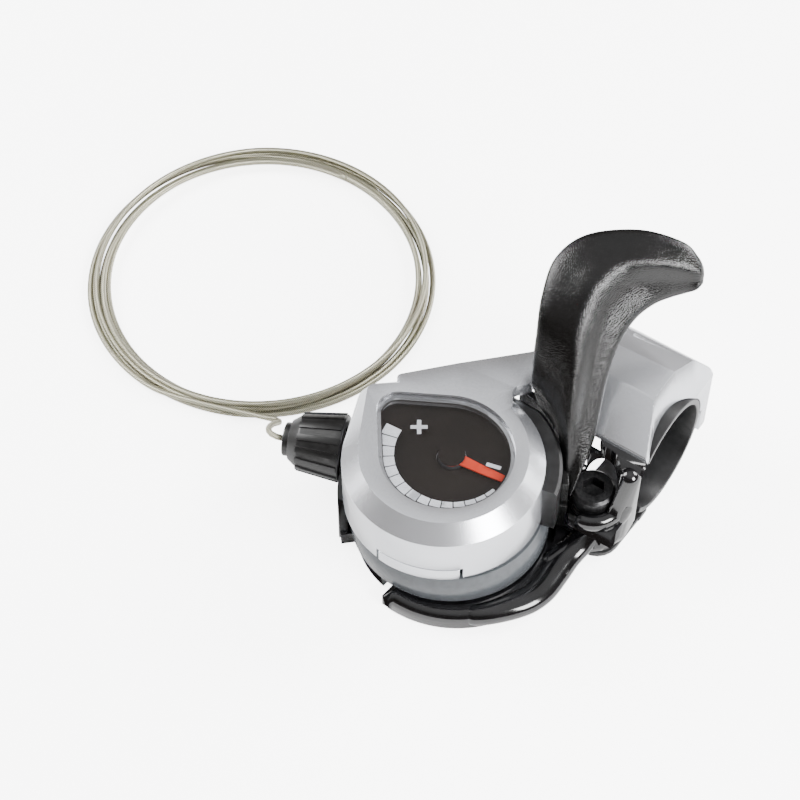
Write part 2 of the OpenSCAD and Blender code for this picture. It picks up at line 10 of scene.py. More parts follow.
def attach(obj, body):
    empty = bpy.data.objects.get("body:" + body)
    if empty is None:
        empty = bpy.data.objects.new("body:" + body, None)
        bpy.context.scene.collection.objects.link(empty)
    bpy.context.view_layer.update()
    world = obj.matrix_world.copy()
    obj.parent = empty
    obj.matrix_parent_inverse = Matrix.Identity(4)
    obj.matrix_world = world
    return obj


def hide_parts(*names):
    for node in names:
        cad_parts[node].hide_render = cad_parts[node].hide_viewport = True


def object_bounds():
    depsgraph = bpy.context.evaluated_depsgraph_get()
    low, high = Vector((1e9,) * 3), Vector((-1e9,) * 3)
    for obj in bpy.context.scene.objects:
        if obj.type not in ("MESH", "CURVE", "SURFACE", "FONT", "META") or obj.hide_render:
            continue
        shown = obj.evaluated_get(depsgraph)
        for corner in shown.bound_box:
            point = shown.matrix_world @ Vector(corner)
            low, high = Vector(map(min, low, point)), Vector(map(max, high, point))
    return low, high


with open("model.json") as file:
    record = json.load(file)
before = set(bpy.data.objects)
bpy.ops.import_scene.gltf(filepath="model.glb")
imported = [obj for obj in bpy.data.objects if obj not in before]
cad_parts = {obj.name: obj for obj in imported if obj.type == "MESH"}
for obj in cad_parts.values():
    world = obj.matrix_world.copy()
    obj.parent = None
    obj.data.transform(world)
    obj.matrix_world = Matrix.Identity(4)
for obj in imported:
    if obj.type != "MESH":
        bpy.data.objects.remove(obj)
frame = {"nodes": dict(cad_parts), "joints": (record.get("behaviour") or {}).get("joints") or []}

CAD_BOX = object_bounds()
TAU = 2 * math.pi

# Shapes are worked out in millimetres, and grid_piece turns them to metres
MM = 0.001
# The floor lies at the part's lowest point
FLOOR = CAD_BOX[0][2] / MM
JOINTS = {joint["name"]: joint for joint in frame["joints"]}
DRUM_AXIS = np.array(JOINTS["lever_turn"]["pos_m"]) / MM
# The handlebar's axis lies this far along Y from the drum's
BAR_Y = -DRUM_AXIS[1]


# Node and colour helpers

def linear(code):
    """Linear colour of an sRGB hex code."""
    c = np.array([int(code[i:i + 2], 16) for i in (1, 3, 5)]) / 255
    c = np.where(c <= 0.04045, c / 12.92, ((c + 0.055) / 1.055) ** 2.4)
    return (*[float(v) for v in c], 1.0)


def add(tree, kind, links=(), **settings):
    """Adds a node: settings are its properties or its inputs, links are (input, source)."""
    node = tree.nodes.new(kind)
    for key, value in settings.items():
        if hasattr(node, key):
            setattr(node, key, value)
        else:
            node.inputs[key.replace("_", " ")].default_value = value
    for socket, source in links:
        tree.links.new(source, node.inputs[socket])
    return node


# Camera, lights and room, in metres

CAMERA_AZIMUTH = math.radians(34)
CAMERA_ELEVATION = math.radians(54)
CAMERA_PLACE = Vector((0.09798, -0.22769, 0.34864))
CAMERA_LENS_MM = 99
CAMERA_SENSOR_MM = 36
LIGHT_AIM = Vector((-0.03, -0.015, 0.0))

# Radiance that the camera sees as the white of the photograph's ground
CAMERA_WHITE = 5.0

# Radiance of the room by height, from 0 straight down through 0.5 at the horizon to 1 overhead
ROOM_BANDS = ((0.0, (0.45, 0.45, 0.45)), (0.6, (0.08, 0.062, 0.05)), (0.8, (0.12, 0.095, 0.075)),
              (0.88, (0.55, 0.55, 0.55)), (1.0, (1.0, 1.0, 1.0)))

# Sockets of a Mix node that mixes colours, which share their names with its other sockets
MIX_FACTOR, MIX_COLOUR_A, MIX_COLOUR_B, MIX_COLOUR_OUT = 0, 6, 7, 2


def studio_camera():
    """Camera of the photograph, fitted to the clamp's bore, the ring, the dial and the coil.
    It looks along -back, with its upper edge toward up."""
    back = Vector((math.sin(CAMERA_AZIMUTH) * math.cos(CAMERA_ELEVATION),
                   -math.cos(CAMERA_AZIMUTH) * math.cos(CAMERA_ELEVATION),
                   math.sin(CAMERA_ELEVATION)))
    right = Vector((math.cos(CAMERA_AZIMUTH), math.sin(CAMERA_AZIMUTH), 0))
    up = back.cross(right)
    lens = bpy.data.cameras.new("studio_camera")
    lens.sensor_width = CAMERA_SENSOR_MM
    lens.lens = CAMERA_LENS_MM
    lens.clip_start = 0.01
    camera = bpy.data.objects.new("studio_camera", lens)
    turn = Matrix((right, up, back)).transposed().to_4x4()
    camera.matrix_world = Matrix.Translation(CAMERA_PLACE) @ turn
    bpy.context.collection.objects.link(camera)
    bpy.context.scene.camera = camera


def soft_box(name, place, size, power):
    """Square area light of that size and power in watts, turned toward the part."""
    light = bpy.data.lights.new(name, "AREA")
    light.size = size
    light.energy = power
    holder = bpy.data.objects.new(name, light)
    holder.location = place
    holder.rotation_euler = (LIGHT_AIM - Vector(place)).to_track_quat("-Z", "Y").to_euler()
    bpy.context.collection.objects.link(holder)


def white_room():
    """Room seen in mirrors: bright overhead, dim and a little warm toward the horizon. The
    camera itself sees an even white."""
    world = bpy.data.worlds.new("white_room")
    world.use_nodes = True
    tree = world.node_tree
    place = add(tree, "ShaderNodeTexCoord")
    parts = add(tree, "ShaderNodeSeparateXYZ", [("Vector", place.outputs["Generated"])])
    height = add(tree, "ShaderNodeMapRange", [("Value", parts.outputs["Z"])], From_Min=-1.0)
    ramp = add(tree, "ShaderNodeValToRGB", [("Fac", height.outputs["Result"])])
    stops = ramp.color_ramp.elements
    for spot, radiance in ROOM_BANDS[1:-1]:
        stops.new(spot).color = (*radiance, 1)
    stops[0].color = (*ROOM_BANDS[0][1], 1)
    stops[-1].color = (*ROOM_BANDS[-1][1], 1)
    path = add(tree, "ShaderNodeLightPath")
    pick = add(tree, "ShaderNodeMix", [(MIX_FACTOR, path.outputs["Is Camera Ray"]),
                                       (MIX_COLOUR_A, ramp.outputs["Color"])], data_type="RGBA")
    pick.inputs[MIX_COLOUR_B].default_value = (CAMERA_WHITE, CAMERA_WHITE, CAMERA_WHITE, 1)
    tree.links.new(pick.outputs[MIX_COLOUR_OUT], tree.nodes["Background"].inputs["Color"])
    bpy.context.scene.world = world


studio_camera()
soft_box("key_right", (0.42, -0.1, 0.3), 0.22, 6)
soft_box("fill_left", (-0.45, -0.1, 0.35), 0.3, 5)
soft_box("top_back", (0.25, 0.42, 0.35), 0.3, 6)
white_room()


# Materials, with the sizes of their patterns in millimetres

def blank(name, colour, roughness, metallic=0.0, **sockets):
    """Material with one Principled shader; returns material, tree and shader."""
    material = bpy.data.materials.new(name)
    material.use_nodes = True
    tree = material.node_tree
    shader = tree.nodes["Principled BSDF"]
    shader.inputs["Base Color"].default_value = linear(colour)
    shader.inputs["Roughness"].default_value = roughness
    shader.inputs["Metallic"].default_value = metallic
    for key, value in sockets.items():
        shader.inputs[key.replace("_", " ")].default_value = value
    return material, tree, shader


def mottle(tree, shader, low, high, patch):
    """Base colour that wanders between two hex colours over patches of that size; returns
    the node that gives the place."""
    place = add(tree, "ShaderNodeTexCoord")
    noise = add(tree, "ShaderNodeTexNoise", [("Vector", place.outputs["Object"])],
                Scale=1 / (patch * MM), Detail=3.0)
    ramp = add(tree, "ShaderNodeValToRGB", [("Fac", noise.outputs["Fac"])])
    dark, light = ramp.color_ramp.elements
    dark.position = 0.3
    light.position = 0.7
    dark.color = linear(low)
    light.color = linear(high)
    tree.links.new(ramp.outputs["Color"], shader.inputs["Base Color"])
    return place


def uneven_skin(tree, shader, grain, strength, depth):
    """Bump of noise with grains of that size and depth."""
    place = add(tree, "ShaderNodeTexCoord")
    noise = add(tree, "ShaderNodeTexNoise", [("Vector", place.outputs["Object"])],
                Scale=1 / (grain * MM), Detail=4.0)
    bump = add(tree, "ShaderNodeBump", [("Height", noise.outputs["Fac"])],
               Strength=strength, Distance=depth * MM)
    tree.links.new(bump.outputs["Normal"], shader.inputs["Normal"])


def silver_paint():
    """Silver paint on moulded ABS: a pale metallic coat with flakes of about 0.3 mm, drawn
    coarser than real flakes so that they show."""
    material, tree, shader = blank("silver_painted_abs", "#C6C9CE", 0.27, 0.8,
                                   Coat_Weight=0.35, Coat_Roughness=0.1)
    mottle(tree, shader, "#C9CBD0", "#D3D5DA", 0.3125)
    uneven_skin(tree, shader, 0.385, 0.04, 0.04)
    return material


def black_enamel():
    """Gloss black enamel on pressed steel: mirror highlights on a slightly wavy skin."""
    material, tree, shader = blank("gloss_black_enamel", "#0A0A0B", 0.16,
                                   Coat_Weight=0.6, Coat_Roughness=0.05)
    mottle(tree, shader, "#070708", "#101012", 2.5)
    uneven_skin(tree, shader, 2, 0.12, 0.1)
    return material


def band_coat():
    """Satin black dip coat on strip steel: broad dull highlights over a fine orange peel."""
    material, tree, shader = blank("satin_black_dip_coat", "#141414", 0.36)
    mottle(tree, shader, "#0F0F10", "#1B1B1C", 1.43)
    uneven_skin(tree, shader, 0.556, 0.15, 0.06)
    return material


def black_oxide():
    """Black oxide on a rolled steel screw: dark, a little oily, with fine grain."""
    material, tree, shader = blank("black_oxide_steel", "#2B2B2C", 0.36, 0.8)
    mottle(tree, shader, "#202021", "#3A3A3B", 0.667)
    uneven_skin(tree, shader, 0.333, 0.2, 0.05)
    return material


def grained_nylon():
    """Moulded black nylon with a leather grain: cells of about 0.4 mm between low creases
    break its sheen into soft flecks."""
    material, tree, shader = blank("leather_grained_black_nylon", "#0A0A0A", 0.2,
                                   Specular_IOR_Level=0.45)
    place = mottle(tree, shader, "#070707", "#0D0D0D", 1.11)
    cell_size = 0.385
    crease_width = 0.18
    cells = add(tree, "ShaderNodeTexVoronoi", [("Vector", place.outputs["Object"])],
                feature="DISTANCE_TO_EDGE", Scale=1 / (cell_size * MM))
    crease = add(tree, "ShaderNodeMapRange", [("Value", cells.outputs["Distance"])],
                 From_Max=crease_width)
    bump = add(tree, "ShaderNodeBump", [("Height", crease.outputs["Result"])],
               Strength=0.24, Distance=0.1 * MM)
    tree.links.new(bump.outputs["Normal"], shader.inputs["Normal"])
    return material


def knob_plastic():
    """Black moulded acetal of the adjuster: satin, with a faint flow pattern."""
    material, tree, shader = blank("black_moulded_acetal", "#121212", 0.38)
    mottle(tree, shader, "#0D0D0D", "#191919", 2)
    uneven_skin(tree, shader, 0.667, 0.1, 0.06)
    return material


def drum_plastic():
    """Mid grey moulded acetal of the drum, slightly waxy."""
    material, tree, shader = blank("grey_moulded_acetal", "#484B4E", 0.26)
    mottle(tree, shader, "#46494C", "#4C4F53", 1.67)
    uneven_skin(tree, shader, 1.11, 0.03, 0.04)
    return material


def tinted_acrylic():
    """Smoke tinted acrylic window: a polished dark skin with a faint moulding wave, which
    covers a fifth of what lies under it."""
    material, tree, shader = blank("smoke_tinted_acrylic", "#120C09", 0.04,
                                   Alpha=0.2, Specular_IOR_Level=0.9)
    mottle(tree, shader, "#0F0A08", "#18110D", 6.67)
    uneven_skin(tree, shader, 8.33, 0.03, 0.2)
    return material


def dial_print():
    """Card printed a very dark brown under the window: flat, with a faint unevenness."""
    material, tree, shader = blank("dark_brown_printed_card", "#120C0A", 0.45)
    mottle(tree, shader, "#110B09", "#15100D", 2.5)
    return material


def pale_ink():
    """Pale grey screen ink of the scale and signs: matt and almost even."""
    material, tree, shader = blank("pale_grey_screen_ink", "#E6E9F0", 0.55)
    mottle(tree, shader, "#E0E3EA", "#ECEFF6", 1.11)
    return material


def needle_plastic():
    """Red orange moulded polystyrene of the needle: bright, with a soft sheen."""
    material, tree, shader = blank("red_orange_polystyrene", "#E8452A", 0.35)
    mottle(tree, shader, "#E03E24", "#F04E32", 2)
    return material


def zinc_plate():
    """Bright zinc plate on steel: a pale metal with a fine turning grain."""
    material, tree, shader = blank("bright_zinc_plate", "#B4B6BA", 0.32, 1.0)
    mottle(tree, shader, "#A5A7AB", "#C4C6CA", 0.833)
    uneven_skin(tree, shader, 0.333, 0.15, 0.04)
    return material


def strand_wire():
    """Galvanised steel cable: nine wires show round it, each about 0.4 mm wide, with painted
    shade in the grooves between them and a painted highlight on their crowns, following
    their lay. They come from the piece's UV map, where u runs once round and v counts
    millimetres along."""
    wires_round = 9
    turns_per_mm = 0.22
    material, tree, shader = blank("galvanised_stranded_cable", "#A09D88", 0.33, 0.85)
    place = add(tree, "ShaderNodeUVMap", uv_map="lay")
    parts = add(tree, "ShaderNodeSeparateXYZ", [("Vector", place.outputs["UV"])])
    twist = add(tree, "ShaderNodeMath", [(0, parts.outputs["Y"])], operation="MULTIPLY")
    twist.inputs[1].default_value = turns_per_mm
    phase = add(tree, "ShaderNodeMath", [(0, parts.outputs["X"]), (1, twist.outputs[0])],
                operation="ADD")
    wires = add(tree, "ShaderNodeMath", [(0, phase.outputs[0])], operation="MULTIPLY")
    wires.inputs[1].default_value = TAU * wires_round
    wave = add(tree, "ShaderNodeMath", [(0, wires.outputs[0])], operation="SINE")
    level = add(tree, "ShaderNodeMapRange", [("Value", wave.outputs[0])], From_Min=-1.0)
    # Base colour from the lay: painted shade in the grooves between wires, painted highlight on their
    # crowns
    ramp = add(tree, "ShaderNodeValToRGB", [("Fac", level.outputs["Result"])])
    groove_painted_shade, crown_painted_highlight = ramp.color_ramp.elements
    groove_painted_shade.color = linear("#5F5C4C")
    crown_painted_highlight.color = linear("#B9B6A2")
    crown_painted_highlight.position = 0.55
    tree.links.new(ramp.outputs["Color"], shader.inputs["Base Color"])
    bump = add(tree, "ShaderNodeBump", [("Height", level.outputs["Result"])],
               Strength=0.6, Distance=0.08 * MM)
    tree.links.new(bump.outputs["Normal"], shader.inputs["Normal"])
    return material


def friction_fibre():
    """Pressed fibre of the friction washer: matt and flecked."""
    material, tree, shader = blank("pressed_friction_fibre", "#8A7B5C", 0.7)
    mottle(tree, shader, "#7C6E51", "#988868", 0.667)
    return material


def white_paper():
    """White paper sweep under the part, which the camera sees as white as the room."""
    material, tree, shader = blank("white_paper_sweep", "#FFFFFF", 0.9,
                                   Emission_Color=(1, 1, 1, 1))
    path = add(tree, "ShaderNodeLightPath")
    glow = add(tree, "ShaderNodeMapRange", [("Value", path.outputs["Is Camera Ray"])],
               To_Min=0.1, To_Max=CAMERA_WHITE)
    tree.links.new(glow.outputs["Result"], shader.inputs["Emission Strength"])
    uneven_skin(tree, shader, 3.33, 0.02, 0.1)
    return material


SILVER = silver_paint()
ENAMEL = black_enamel()
BAND = band_coat()
OXIDE = black_oxide()
NYLON = grained_nylon()
KNOB = knob_plastic()
DRUM = drum_plastic()
ACRYLIC = tinted_acrylic()
CARD = dial_print()
INK = pale_ink()
NEEDLE = needle_plastic()
ZINC = zinc_plate()
CABLE = strand_wire()
FIBRE = friction_fibre()
PAPER = white_paper()


# Surfaces and curves

def grid_piece(name, points, material, body, smooth=True, close_v=False, uv=None):
    """Surface through a grid of points[v, u, 3] in millimetres, closed round u. A fan to
    its middle point closes each end, unless v closes on itself too. uv holds the texture's
    v of each row, and its u runs from 0 to 1 round the piece."""
    points = points * MM
    nv, nu = points.shape[:2]
    verts = points.reshape(-1, 3)
    v0, u0 = np.meshgrid(np.arange(nv if close_v else nv - 1), np.arange(nu), indexing="ij")
    u1, v1 = (u0 + 1) % nu, (v0 + 1) % nv
    quads = np.stack([v0 * nu + u0, v0 * nu + u1, v1 * nu + u1, v1 * nu + u0], -1)
    faces = quads.reshape(-1, 4).tolist()
    if not close_v:
        k = np.arange(nu)
        middles = np.stack([points[0].mean(0), points[-1].mean(0)])
        first, last_row = len(verts), (nv - 1) * nu
        verts = np.vstack([verts, middles])
        start = np.stack([(k + 1) % nu, k, np.full(nu, first)], -1)
        stop = np.stack([last_row + k, last_row + (k + 1) % nu, np.full(nu, first + 1)], -1)
        faces += start.tolist() + stop.tolist()
    mesh = bpy.data.meshes.new(name)
    mesh.from_pydata(verts.tolist(), [], faces)
    if uv is not None:
        a, b = u0 / nu, (u0 + 1) / nu
        corners = np.stack([np.stack([a, uv[v0]], -1), np.stack([b, uv[v0]], -1),
                            np.stack([b, uv[v1]], -1), np.stack([a, uv[v1]], -1)], 2)
        flat = np.zeros((len(mesh.loops), 2), np.float32)
        flat[:corners.size // 2] = corners.reshape(-1, 2)
        mesh.uv_layers.new(name="lay").data.foreach_set("uv", flat.ravel())
    mesh.polygons.foreach_set("use_smooth", np.full(len(faces), smooth))
    mesh.materials.append(material)
    mesh.validate()
    mesh.update()
    piece = bpy.data.objects.new(name, mesh)
    bpy.context.collection.objects.link(piece)
    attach(piece, body)
    return piece


def cubic(p0, p1, p2, p3, t):
    """Point a share t of the way from p1 to p2 on the smooth cubic that has p0 before it
    and p3 after it."""
    return 0.5 * (2 * p1 + (p2 - p0) * t + (2 * p0 - 5 * p1 + 4 * p2 - p3) * t ** 2
                  + (3 * p1 - p0 - 3 * p2 + p3) * t ** 3)


def smooth_curve(knots, u):
    """Curve through the knots at parameters u: a cubic between each pair of knots."""
    knots = np.asarray(knots, float)
    last = len(knots) - 1
    i = np.minimum(np.floor(u).astype(int), last - 1)
    t = (u - i)[:, None]
    return cubic(knots[np.maximum(i - 1, 0)], knots[i], knots[i + 1],
                 knots[np.minimum(i + 2, last)], t)


def unit(v):
    """Vectors of length one along v."""
    return v / np.linalg.norm(v, axis=-1, keepdims=True)


def tube_skin(path, across, upward, sides, reach, rise):
    """Ellipse of that many sides at each point of a path, reach wide along across and rise
    high along upward."""
    a = np.arange(sides) / sides * TAU
    return path[:, None] + (across[:, None] * reach[:, None, None] * np.cos(a)[None, :, None]
                            + upward[:, None] * rise[:, None, None] * np.sin(a)[None, :, None])


def round_drum(radius, azimuth, height):
    """Points at that radius, azimuth in radians and height about the drum's axis."""
    return np.stack(np.broadcast_arrays(radius * np.cos(azimuth), radius * np.sin(azimuth),
                                        height), -1) + DRUM_AXIS


def on_dial(flat, level):
    """Points of a flat outline about the drum's axis, at that level."""
    return np.column_stack([flat, np.full(len(flat), level)]) + DRUM_AXIS


# Inner cable

CABLE_R = 0.6
GROOVE_R = 6.5
KNOB_OUT = np.array(JOINTS["adjuster_advance"]["axis"])
# The cable leaves the drum's groove here, square to its way out through the knob
TANGENT = DRUM_AXIS + GROOVE_R * np.array([KNOB_OUT[1], -KNOB_OUT[0], 0])
LEAD_START = 34.0
# Points of the lead, from the knob's nose to the coil on the floor
LEAD = [TANGENT + LEAD_START * KNOB_OUT, TANGENT + (LEAD_START + 2) * KNOB_OUT,
        (-61.7, -37.2, -1.4), (-62.9, -34, -4.2), (-63.4, -31.2, -7.4), (-64.4, -29.8, -9.4),
        (-66.3, -29.5, -10.4)]
COIL_CENTRE = (-90.0, -0.8)
COIL_R = 34
COIL_START = math.radians(-52)
COIL_TURNS = 5.6
COIL_SAMPLES = 420
# Samples at the coil's start that make room for the join with the lead
JOIN_SAMPLES = 8
CABLE_SIDES = 10
CABLE_STEP = 1.6


def coil_path():
    """Five and a half clockwise turns: the radius steps from turn to turn, two turns stand
    out to the left, and crossings lift the upper strand by about a cable's thickness."""
    theta = np.linspace(0, COIL_TURNS * TAU, COIL_SAMPLES)[JOIN_SAMPLES:]
    turn = theta / TAU
    angle = COIL_START - theta
    lane = np.interp(turn, [0, 0.5, 1.5, 2.5, 3.5, 4.5, 5.6],
                     [1.9, 1.9, 0.8, -0.4, -1.5, 1.3, -1.9])
    leftness = np.maximum(0, -np.cos(angle)) ** 2
    stray = 2.4 * np.interp(turn, [0, 0.6, 1.2, 1.8, 2.3, 3.4, 3.9, 5.6],
                            [0, 0, 0, 1, 0, 0, 0.4, 0])
    radius = COIL_R + lane + stray * leftness + 0.35 * np.sin(2 * angle + turn)
    height = np.interp(turn, [0, 0.25, 1, 2, 2.9, 3.3, 4.3, 5.0, 5.6],
                       [2.1, 0.9, 0.62, 0.62, 0.62, 1.75, 1.75, 2.7, 1.9])
    return np.stack([COIL_CENTRE[0] + radius * np.cos(angle),
                     COIL_CENTRE[1] + radius * np.sin(angle), FLOOR + height], -1)


def inner_cable():
    """Round tube on the lead, a short join and the coil, at even steps and eased twice by
    the mean of each point and its neighbours; UV v counts millimetres along it."""
    lead = smooth_curve(LEAD, np.linspace(0, len(LEAD) - 1, 40))
    coil = coil_path()
    join = smooth_curve(np.vstack([lead[-6], lead[-1], coil[0], coil[4]]),
                        np.linspace(1, 2, 6)[1:-1])
    path = np.vstack([lead, join, coil])
    run = np.concatenate([[0], np.cumsum(np.linalg.norm(np.diff(path, axis=0), axis=1))])
    even = np.linspace(0, run[-1], int(run[-1] / CABLE_STEP))
    path = np.stack([np.interp(even, run, path[:, k]) for k in range(3)], -1)
    for _ in range(2):
        path[1:-1] = 0.25 * path[:-2] + 0.5 * path[1:-1] + 0.25 * path[2:]
    along = unit(np.gradient(path, axis=0))
    across = unit(np.cross([0, 0, 1.0], along))
    radius = np.full(len(path), CABLE_R)
    skin = tube_skin(path, across, np.cross(along, across), CABLE_SIDES, radius, radius)
    piece = grid_piece("inner_cable", skin, CABLE, "base", uv=even)
    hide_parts("cable_lead", "cable_coil")


inner_cable()


# Lever

# Guide curves about the drum's axis, from the root to the tip: trailing edge, ridge between
# the two front faces, leading edge, and how far the rounded back stands off
TRAILING = [(11.4, 17.8, 3.3), (7.6, 19.9, 8), (5.2, 20.6, 13), (4.7, 19.8, 19.5), (3.4, 22.8, 27),
            (1.2, 27.8, 32.2), (0, 34.2, 36), (2.8, 40.6, 38.2), (10.6, 46.4, 39),
            (18.2, 49.2, 37.8), (21.6, 49.4, 35.6), (23.1, 49.1, 33.9)]
RIDGE = [(17.2, 12.4, 3.3), (16, 14.4, 9.6), (14.6, 16.4, 15.6), (13, 20.4, 22.4), (11.2, 25, 28.6),
         (10.2, 29, 32.6), (10, 33.2, 35.6), (11.6, 38.2, 37), (15.8, 42, 37),
         (20, 44.8, 35.8), (23.2, 47, 34.4), (23.9, 48, 33.3)]
LEADING = [(20.1, 10.3, 3.3), (19.8, 15.4, 7.4), (19.2, 20, 11.4), (17.8, 24.4, 17), (16.8, 28, 21.6),
           (16.4, 31.8, 25.4), (16.8, 36.2, 27.6), (18.2, 40.2, 28.6), (20.2, 43, 29.2),
           (22.2, 45, 29.8), (23.8, 45.9, 31), (24.2, 47.4, 31.6)]
BACK = [(1.2, 1.3, 0), (1, 1.8, 0), (0.1, 1.9, -0.6), (-1.1, 1.8, -2.9), (-1.4, 2, -3.4),
        (-1.4, 2, -3.4), (-1.4, 2, -3.4), (-1.3, 1.9, -3.3), (-1.2, 1.8, -3.1),
        (-1.2, 1.8, -2.9), (-1, 1.5, -2.3), (-0.5, 0.8, -1.2)]
# Points of the back: share of the way from leading to trailing edge, share of the stand-off
BACK_POINTS = ((0.2, 0.9), (0.55, 1.0), (0.86, 0.75))
TRAILING_BULGE = 0.15
LEVER_STATIONS = 155
STEPS_PER_SPAN = 10
# Up to this height the lever keeps to a radius outside the cover
COVER_REACH = 15.4
LEVER_INNER_R = 20.9
BAR_CLEAR = 11.5
WALL_STATIONS = 40
WALL_EDGE = 0.3


def lever_blade():
    """Loft along three guide curves: the section is a smooth loop through trailing edge,
    ridge and leading edge, and through three points of the rounded back. It is pushed out
    of the cover's radius and held clear of the handlebar."""
    u = np.linspace(0, len(TRAILING) - 1, LEVER_STATIONS)
    trailing, ridge, leading, back = (smooth_curve(k, u) for k in (TRAILING, RIDGE, LEADING, BACK))
    loop = np.stack([trailing, (trailing + ridge) / 2 - TRAILING_BULGE * back, ridge,
                     (ridge + leading) / 2, leading]
                    + [leading + share * (trailing - leading) + bulge * back
                       for share, bulge in BACK_POINTS], 1)
    spans = loop.shape[1]
    s = np.arange(spans * STEPS_PER_SPAN) / STEPS_PER_SPAN
    i = np.floor(s).astype(int)
    p0, p1, p2, p3 = (loop[:, (i + k) % spans] for k in (-1, 0, 1, 2))
    skin = cubic(p0, p1, p2, p3, (s - i)[None, :, None])
    height = skin[..., 2]
    radius = np.linalg.norm(skin[..., :2], axis=-1)
    push = np.where(height < COVER_REACH, np.maximum(1, LEVER_INNER_R / radius), 1)
    skin[..., :2] *= push[..., None]
    level = np.minimum(np.abs(height), BAR_CLEAR)
    bar_side = np.where(height < BAR_CLEAR, BAR_Y - np.sqrt(BAR_CLEAR ** 2 - level ** 2), np.inf)
    skin[..., 1] = np.minimum(skin[..., 1], bar_side)
    piece = grid_piece("lever_blade", skin + DRUM_AXIS, NYLON, "shift_lever")
    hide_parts("lever")


def turned_wall(name, radii, heights, azimuths, material, body):
    """Wall of a ring between two radii, two heights and two azimuths in degrees about the
    drum, with its edges rounded."""
    azimuth = np.radians(np.linspace(*azimuths, WALL_STATIONS))
    (r0, r1), (z0, z1) = radii, heights
    profile = np.array([(r0, z1), (r1, z1), (r1, z0), (r0, z0)])
    skin = round_drum(profile[:, 0], azimuth[:, None], profile[:, 1])
    piece = grid_piece(name, skin, material, body, smooth=False)
    bevel = piece.modifiers.new("soft_edges", "BEVEL")
    bevel.width = WALL_EDGE * MM
    bevel.segments = 3


lever_blade()
turned_wall("lever_root", (19.25, 22.3), (-7.3, -0.1), (27, 59), NYLON, "shift_lever")
turned_wall("lever_root_wall", (20.8, 22.2), (-0.3, 6.0), (29.2, 59), NYLON, "shift_lever")
turned_wall("lever_heel", (20.85, 22.4), (7.4, 11.4), (56, 85), NYLON, "shift_lever")


# CAD pieces with rounded edges

WELD_GAP = 0.002
SHARP_EDGE = math.radians(32)


def rounded_copy(node, material, body, width):
    """Merged copy of a CAD piece with edges bevelled by that width and smooth shading."""
    piece = bpy.data.objects.new(node + "_finish", frame["nodes"][node].data.copy())
    bpy.context.collection.objects.link(piece)
    piece.data.materials.clear()
    piece.data.materials.append(material)
    weld = piece.modifiers.new("weld", "WELD")
    weld.merge_threshold = WELD_GAP * MM
    bevel = piece.modifiers.new("soft_edges", "BEVEL")
    bevel.width = width * MM
    bevel.segments = 2
    bevel.limit_method = "ANGLE"
    bevel.angle_limit = SHARP_EDGE
    depsgraph = bpy.context.evaluated_depsgraph_get()
    final = bpy.data.meshes.new_from_object(piece.evaluated_get(depsgraph))
    piece.modifiers.clear()
    piece.data = final
    final.shade_smooth()
    final.set_sharp_from_angle(angle=SHARP_EDGE)
    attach(piece, body)
    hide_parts(node)


rounded_copy("top_cover", SILVER, "base", 0.3)
rounded_copy("access_flap", SILVER, "base", 0.15)
rounded_copy("base_bracket", ENAMEL, "base", 0.25)
rounded_copy("clamp_band", BAND, "base", 0.2)
rounded_copy("clamp_bolt", OXIDE, "base", 0.12)
rounded_copy("clamp_washer", OXIDE, "base", 0.1)
rounded_copy("winding_drum", DRUM, "shift_lever", 0.2)
rounded_copy("adjuster_knob", KNOB, "adjuster", 0.15)


# CAD pieces shown as they are

PLAIN_PIECES = {"clamp_nut": ZINC, "cover_screw": ZINC, "window_lens": ACRYLIC, "dial_plate": CARD,
                "scale_marks": INK, "pointer_cap": CARD, "pointer_carrier": DRUM,
                "pivot_axle": ZINC, "friction_washer": FIBRE, "spring_washer": ZINC,
                "axle_nut": ZINC, "cable_nipple": ZINC, "cable_run": CABLE,
                "adjuster_bolt": ZINC, "adjuster_spring": ZINC, "adjuster_washer": ZINC}
for node, material in PLAIN_PIECES.items():
    finishes = frame["nodes"][node].data.materials
    finishes.clear()
    finishes.append(material)


# Signs, border and needle of the dial, about the drum's axis

INK_LEVEL = 13.37
INK_THICK = 0.02
PLUS_CENTRE = np.array([-8.4, 1.7])
PLUS_ALONG = np.array([0.83, 0.56])
PLUS_LONG, PLUS_SHORT = 3.2, 1.2
MINUS_CENTRE, MINUS_ALONG, MINUS_LONG = (7.9, 2.0), (0.97, 0.24), 2.8
SIGN_WIDTH = 0.8
WINDOW_ROUND, WINDOW_ROUND_R = np.array([-0.6, -0.8]), 12.6
WINDOW_CORNER, WINDOW_CORNER_R = np.array([-13.3, 2.0]), 4
BORDER_WIDTH = 1.0
NEEDLE_LEVEL = 12.6
NEEDLE_THICK = 0.35
NEEDLE_BLADE = [(0, -1.2), (6, -0.5), (10.9, 0.2), (11.1, 1.7), (6.2, 1.35), (0, 1.2)]
NEEDLE_HUB_R = 2.3


def printed_bar(name, centre, along, length):
    """Flat bar of ink just under the window, centred on the ink's level."""
    a = unit(np.array([along[0], along[1], 0.0])) * length / 2
    b = unit(np.array([-along[1], along[0], 0.0])) * SIGN_WIDTH / 2
    c = np.array([*centre, INK_LEVEL]) + DRUM_AXIS
    ring = np.array([c - a - b, c + a - b, c + a + b, c - a + b])
    skin = np.stack([ring - (0, 0, INK_THICK), ring + (0, 0, INK_THICK)])
    grid_piece(name, skin, INK, "base", smooth=False)


def plus_sign():
    """One long bar, and a short one on each side that starts at its edge."""
    across = np.array([-PLUS_ALONG[1], PLUS_ALONG[0]])
    printed_bar("plus_sign_long", PLUS_CENTRE, PLUS_ALONG, PLUS_LONG)
    printed_bar("plus_sign_upper", PLUS_CENTRE + across, across, PLUS_SHORT)
    printed_bar("plus_sign_lower", PLUS_CENTRE - across, across, PLUS_SHORT)


